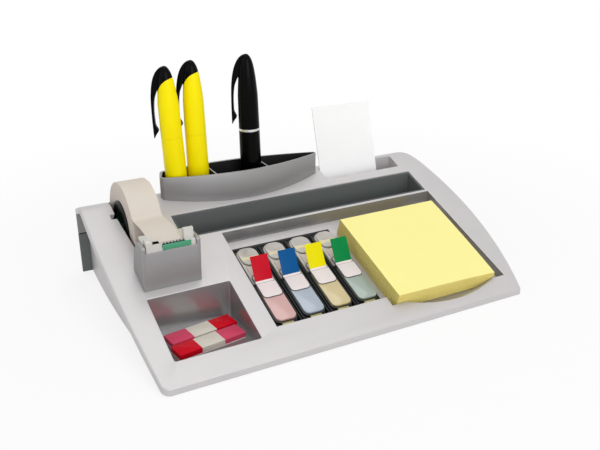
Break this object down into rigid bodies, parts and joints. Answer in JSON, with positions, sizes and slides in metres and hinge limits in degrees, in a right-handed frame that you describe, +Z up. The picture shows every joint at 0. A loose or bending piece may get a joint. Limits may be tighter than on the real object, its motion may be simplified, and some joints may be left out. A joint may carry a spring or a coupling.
{
  "type": "desk organizer with tape dispenser and drawer",
  "caption": "Sloping desktop organizer with tape dispenser, note recess, flag bays, long tray, pen cup, card slot, open well and a rear drawer.",
  "frame": {"origin": "on the desk, under the middle of the closed organizer's bounding box", "axes": "+X to the right along the front edge, +Y to the back where the drawer opens, +Z up"},
  "size_m": [0.2646, 0.1692, 0.1441],
  "materials": {
    "silver_plastic": "satin silver",
    "dark_plastic": "matte",
    "drawer_plastic": "matte",
    "liner_plastic": "matte",
    "insert_plastic": "matte",
    "screw_steel": "plain",
    "ballast_steel": "plain",
    "foot_rubber": "matte",
    "pale_plastic": "satin",
    "blade_steel": "bright",
    "green_plastic": "satin",
    "tape_film": "satin translucent",
    "core_plastic": "matte",
    "hub_plastic": "satin",
    "note_paper": "matte",
    "case_red": "clear tinted",
    "case_blue": "clear tinted",
    "case_yellow": "clear tinted",
    "case_green": "clear tinted",
    "tab_red": "satin",
    "tab_blue": "satin",
    "tab_yellow": "satin",
    "tab_green": "satin",
    "marker_paper": "matte",
    "card_paper": "matte",
    "pen_yellow": "satin",
    "pen_black": "gloss",
    "pen_ring_metal": "bright"
  },
  "bodies": {
    "chassis": {"top_shell": "silver_plastic", "base_cover": "dark_plastic", "cover_screws": "screw_steel", "ballast_plate": "ballast_steel", "tray_liner": "liner_plastic", "index_insert": "insert_plastic", "pen_cup": "silver_plastic", "foot_front_left": "foot_rubber", "foot_front_right": "foot_rubber", "foot_rear_left": "foot_rubber", "foot_rear_right": "foot_rubber", "cutter_housing": "silver_plastic", "cutter_saddle": "pale_plastic", "cutter_blade": "blade_steel", "blade_guard": "green_plastic", "tape_lead": "tape_film", "runner_left": "dark_plastic", "runner_right": "dark_plastic"},
    "drawer": {"drawer_box": "drawer_plastic", "drawer_front": "drawer_plastic"},
    "tape_spool": {"tape_hub": "hub_plastic", "tape_core": "core_plastic", "tape_roll": "tape_film"},
    "note_pad": {"note_pad": "note_paper"},
    "flags_1": {"flag_case_1": "case_red", "flag_tab_1": "tab_red"},
    "flags_2": {"flag_case_2": "case_blue", "flag_tab_2": "tab_blue"},
    "flags_3": {"flag_case_3": "case_yellow", "flag_tab_3": "tab_yellow"},
    "flags_4": {"flag_case_4": "case_green", "flag_tab_4": "tab_green"},
    "markers_back": {"marker_strip_back": "marker_paper"},
    "markers_front": {"marker_strip_front": "marker_paper"},
    "card": {"index_card": "card_paper"},
    "highlighter_1": {"highlighter_1_barrel": "pen_yellow", "highlighter_1_cap": "pen_yellow", "highlighter_1_crown": "pen_black"},
    "highlighter_2": {"highlighter_2_barrel": "pen_yellow", "highlighter_2_cap": "pen_yellow", "highlighter_2_crown": "pen_black"},
    "black_pen": {"black_pen_barrel": "pen_black", "black_pen_ring": "pen_ring_metal", "black_pen_cap": "pen_black", "black_pen_crown": "pen_black"}
  },
  "joints": [
    {"name": "drawer_slide", "type": "slide", "parent": "chassis", "child": "drawer", "axis": [0, 1, 0], "range_m": [0, 0.055]},
    {"name": "spool_spin", "type": "hinge", "parent": "chassis", "child": "tape_spool", "pos_m": [-0.0988, 0.04795, 0.0426], "axis": [1, 0, 0], "continuous": true},
    {"name": "pad_lift", "type": "slide", "parent": "chassis", "child": "note_pad", "axis": [0, -0.31, 0.9507], "range_m": [0, 0.03]},
    {"name": "flags_1_lift", "type": "slide", "parent": "chassis", "child": "flags_1", "axis": [0, -0.31, 0.9507], "range_m": [0, 0.02]},
    {"name": "flags_2_lift", "type": "slide", "parent": "chassis", "child": "flags_2", "axis": [0, -0.31, 0.9507], "range_m": [0, 0.02]},
    {"name": "flags_3_lift", "type": "slide", "parent": "chassis", "child": "flags_3", "axis": [0, -0.31, 0.9507], "range_m": [0, 0.02]},
    {"name": "flags_4_lift", "type": "slide", "parent": "chassis", "child": "flags_4", "axis": [0, -0.31, 0.9507], "range_m": [0, 0.02]},
    {"name": "markers_back_lift", "type": "slide", "parent": "chassis", "child": "markers_back", "axis": [0, 0, 1], "range_m": [0, 0.02]},
    {"name": "markers_front_lift", "type": "slide", "parent": "chassis", "child": "markers_front", "axis": [0, 0, 1], "range_m": [0, 0.02]},
    {"name": "card_lift", "type": "slide", "parent": "chassis", "child": "card", "axis": [0, 0.284, 0.9588], "range_m": [0, 0.04]},
    {"name": "highlighter_1_lift", "type": "slide", "parent": "chassis", "child": "highlighter_1", "axis": [-0.0454, 0, 0.999], "range_m": [0, 0.06]},
    {"name": "highlighter_2_lift", "type": "slide", "parent": "chassis", "child": "highlighter_2", "axis": [-0.0174, 0, 0.9998], "range_m": [0, 0.06]},
    {"name": "black_pen_lift", "type": "slide", "parent": "chassis", "child": "black_pen", "axis": [-0.0209, 0, 0.9998], "range_m": [0, 0.06]}
  ]
}
